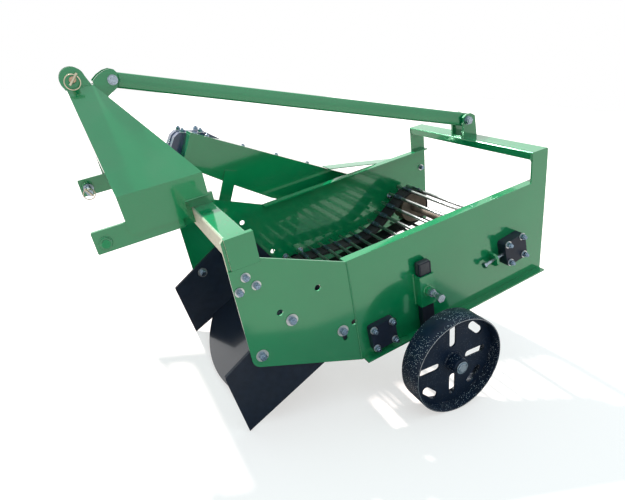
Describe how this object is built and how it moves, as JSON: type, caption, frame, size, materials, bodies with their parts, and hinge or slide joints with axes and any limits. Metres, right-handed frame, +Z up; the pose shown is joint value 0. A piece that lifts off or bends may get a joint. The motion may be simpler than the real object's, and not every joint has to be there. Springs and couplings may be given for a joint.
{
  "type": "potato harvester",
  "caption": "Tractor-mounted digger: share between two knives, rod web between folded side plates, offset hitch tower with tie strap, adjustable wheels at the sides.",
  "frame": {"origin": "centre of the footprint of the whole machine on the floor it is parked on", "axes": "+X forward in the direction of travel, +Y to the machine's left, +Z up; the machine's own square frame is pitched nose-down as it stands on its knives and wheels"},
  "size_m": [1.3596, 1.096, 0.8983],
  "materials": {
    "green_paint": "gloss",
    "black_paint": "satin",
    "bright_steel": "zinc plated",
    "wheel_paint": "speckled satin",
    "gearbox_paint": "satin",
    "web_steel": "worn bright rods on dark belts"
  },
  "bodies": {
    "frame": {"arch_beam": "green_paint", "bearing_front_left": "black_paint", "bearing_front_right": "black_paint", "bearing_rear_left": "black_paint", "bearing_rear_right": "black_paint", "chain_case": "green_paint", "chain_cover": "green_paint", "clamp_bolt_left": "bright_steel", "clamp_bolt_right": "bright_steel", "cross_beam": "green_paint", "drive_shaft": "bright_steel", "front_roller": "bright_steel", "gearbox": "gearbox_paint", "gearbox_mount": "green_paint", "guard_post": "green_paint", "hitch_bar_left": "green_paint", "hitch_bar_right": "green_paint", "hitch_tower": "green_paint", "input_shaft": "bright_steel", "knife_left": "black_paint", "knife_right": "black_paint", "leg_sleeve_left": "green_paint", "leg_sleeve_right": "green_paint", "lower_pin_left": "bright_steel", "lower_pin_right": "bright_steel", "rear_guard": "green_paint", "rod_web": "web_steel", "share": "black_paint", "side_plate_left": "green_paint", "side_plate_right": "green_paint", "strap_bolt_front": "bright_steel", "strap_bolt_rear": "bright_steel", "strap_ears_front": "green_paint", "strap_ears_rear": "green_paint", "tensioner_bolt_left": "bright_steel", "tensioner_bolt_right": "bright_steel", "tensioner_left": "green_paint", "tensioner_right": "green_paint", "tie_strap": "green_paint", "top_link_ears": "green_paint"},
    "leg_left": {"leg_left": "black_paint"},
    "leg_right": {"leg_right": "black_paint"},
    "wheel_left": {"wheel_left": "wheel_paint"},
    "wheel_right": {"wheel_right": "wheel_paint"}
  },
  "joints": [
    {"name": "leg_height_left", "type": "slide", "parent": "frame", "child": "leg_left", "axis": [0.237, 0, 0.9715], "range_m": [-0.05, 0.04]},
    {"name": "wheel_spin_left", "type": "hinge", "parent": "leg_left", "child": "wheel_left", "pos_m": [-0.24483, 0.502, 0.15], "axis": [0, 1, 0], "continuous": true},
    {"name": "leg_height_right", "type": "slide", "parent": "frame", "child": "leg_right", "axis": [0.237, 0, 0.9715], "range_m": [-0.05, 0.04]},
    {"name": "wheel_spin_right", "type": "hinge", "parent": "leg_right", "child": "wheel_right", "pos_m": [-0.24483, -0.316, 0.15], "axis": [0, 1, 0], "continuous": true}
  ]
}
